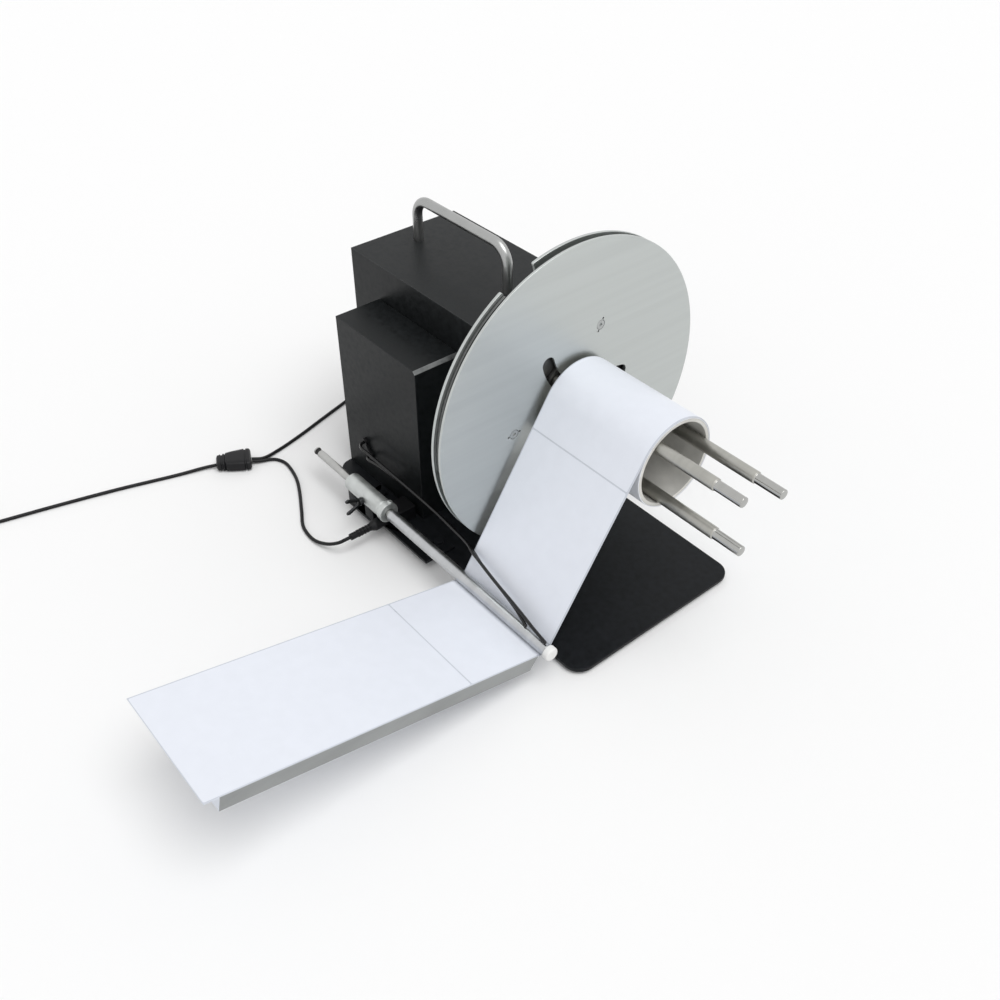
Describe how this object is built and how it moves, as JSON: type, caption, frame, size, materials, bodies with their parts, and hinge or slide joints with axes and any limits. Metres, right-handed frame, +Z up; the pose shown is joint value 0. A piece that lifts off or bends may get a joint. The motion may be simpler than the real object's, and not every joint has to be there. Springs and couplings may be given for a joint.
{
  "type": "label rewinder",
  "caption": "Motor-driven label rewinder: a disc with swinging posts winds a taut strip of labels from a guide roller onto a core.",
  "frame": {"origin": "on the table, under the middle of the machine's box without its free power cords", "axes": "+X along the spindle towards the free ends of the posts, +Y away from the incoming strip, +Z up"},
  "size_m": [0.6527, 0.6959, 0.312],
  "materials": {
    "coat": "fine-textured satin black powder coat on sheet steel",
    "base_coat": "satin black powder coat on steel plate",
    "foot_rubber": "matt black rubber",
    "brushed_disc": "fine brushed aluminium with bright edges",
    "brushed_bar": "satin aluminium",
    "satin_steel": "satin grey steel",
    "bright_steel": "bright plated steel",
    "black_plastic": "satin black plastic",
    "cord_jacket": "smooth black cord jacket",
    "white_plastic": "satin white plastic",
    "circuit": "green circuit laminate",
    "label_paper": "bluish white label paper, standing under wood because the list has no paper",
    "core_card": "grey core board, standing under wood because the list has no paper"
  },
  "bodies": {
    "frame": {"tall_housing_hood": "coat", "tall_housing_spindle_panel": "coat", "tall_housing_control_panel": "coat", "low_housing_cover": "coat", "bearing_carrier": "coat", "base_plate": "base_coat", "guide_bracket": "base_coat", "base_foot_1": "foot_rubber", "base_foot_2": "foot_rubber", "base_foot_3": "foot_rubber", "base_foot_4": "foot_rubber", "drive_belt": "foot_rubber", "carry_handle": "brushed_bar", "guide_clamp_sleeve": "brushed_bar", "gear_motor": "satin_steel", "motor_bracket": "satin_steel", "torque_potentiometer": "satin_steel", "power_socket_rear": "satin_steel", "bearing_inner": "bright_steel", "bearing_outer": "bright_steel", "switch_body": "black_plastic", "power_socket_front": "black_plastic", "power_plug_front": "black_plastic", "power_plug_rear": "black_plastic", "cord_splitter": "black_plastic", "supply_connector": "black_plastic", "feeler_bush_plate": "black_plastic", "feeler_wire_outer": "black_plastic", "feeler_wire_inner": "black_plastic", "cord_to_front": "cord_jacket", "cord_to_rear": "cord_jacket", "cord_supply": "cord_jacket", "cord_coil": "cord_jacket", "control_board": "circuit", "feeler_circuit_board": "circuit", "label_strip": "label_paper"},
    "spindle": {"spindle_shaft": "bright_steel", "spindle_pulley": "brushed_bar", "spindle_hub": "brushed_disc", "rear_disc": "brushed_disc", "front_flange": "brushed_disc", "pivot_screw_1": "bright_steel", "pivot_screw_2": "bright_steel", "pivot_screw_3": "bright_steel", "roll_core": "core_card", "label_roll": "label_paper"},
    "adjuster": {"adjuster_plate": "satin_steel"},
    "arm_1": {"swing_arm_1": "satin_steel", "roll_post_1": "satin_steel"},
    "arm_2": {"swing_arm_2": "satin_steel", "roll_post_2": "satin_steel"},
    "arm_3": {"swing_arm_3": "satin_steel", "roll_post_3": "satin_steel"},
    "motor_output": {"motor_pulley": "brushed_bar"},
    "guide_bar": {"guide_rod": "satin_steel", "roller_end_cap": "white_plastic"},
    "roller": {"guide_roller": "brushed_bar"},
    "clamp_screw": {"wing_screw": "bright_steel"},
    "knob": {"torque_knob": "black_plastic"},
    "rocker": {"rocker_button": "black_plastic"}
  },
  "joints": [
    {"name": "spindle_turn", "type": "hinge", "parent": "frame", "child": "spindle", "pos_m": [0.03785, 0.14719, 0.162], "axis": [1, 0, 0], "continuous": true},
    {"name": "adjuster_turn", "type": "hinge", "parent": "spindle", "child": "adjuster", "pos_m": [0.03035, 0.14719, 0.162], "axis": [1, 0, 0], "range_deg": [0, 26]},
    {"name": "arm_1_swing", "type": "hinge", "parent": "spindle", "child": "arm_1", "pos_m": [0.03345, 0.1751, 0.22619], "axis": [1, 0, 0], "range_deg": [0, 18.3]},
    {"name": "arm_2_swing", "type": "hinge", "parent": "spindle", "child": "arm_2", "pos_m": [0.03345, 0.07764, 0.15408], "axis": [1, 0, 0], "range_deg": [0, 18.3]},
    {"name": "arm_3_swing", "type": "hinge", "parent": "spindle", "child": "arm_3", "pos_m": [0.03345, 0.18883, 0.10573], "axis": [1, 0, 0], "range_deg": [0, 18.3]},
    {"name": "motor_turn", "type": "hinge", "parent": "frame", "child": "motor_output", "pos_m": [-0.09815, 0.15719, 0.084], "axis": [1, 0, 0], "continuous": true},
    {"name": "guide_slide", "type": "slide", "parent": "frame", "child": "guide_bar", "axis": [1, 0, 0], "range_m": [0, 0.055]},
    {"name": "roller_spin", "type": "hinge", "parent": "guide_bar", "child": "roller", "pos_m": [0.05085, 0.00839, 0.0334], "axis": [1, 0, 0], "continuous": true},
    {"name": "clamp_screw_turn", "type": "hinge", "parent": "frame", "child": "clamp_screw", "pos_m": [-0.09715, 0.00839, 0.0334], "axis": [0, -1, 0], "range_deg": [0, 360]},
    {"name": "knob_turn", "type": "hinge", "parent": "frame", "child": "knob", "pos_m": [-0.24015, 0.16719, 0.172], "axis": [-1, 0, 0], "range_deg": [-135, 135]},
    {"name": "rocker_tilt", "type": "hinge", "parent": "frame", "child": "rocker", "pos_m": [-0.23115, 0.12719, 0.172], "axis": [0, 1, 0], "range_deg": [-8, 8]}
  ],
  "couplings": [
    {"joint": "arm_1_swing", "follows": "adjuster_turn", "ratio": 0.7},
    {"joint": "arm_2_swing", "follows": "adjuster_turn", "ratio": 0.7},
    {"joint": "arm_3_swing", "follows": "adjuster_turn", "ratio": 0.7},
    {"joint": "motor_turn", "follows": "spindle_turn", "ratio": 2}
  ]
}
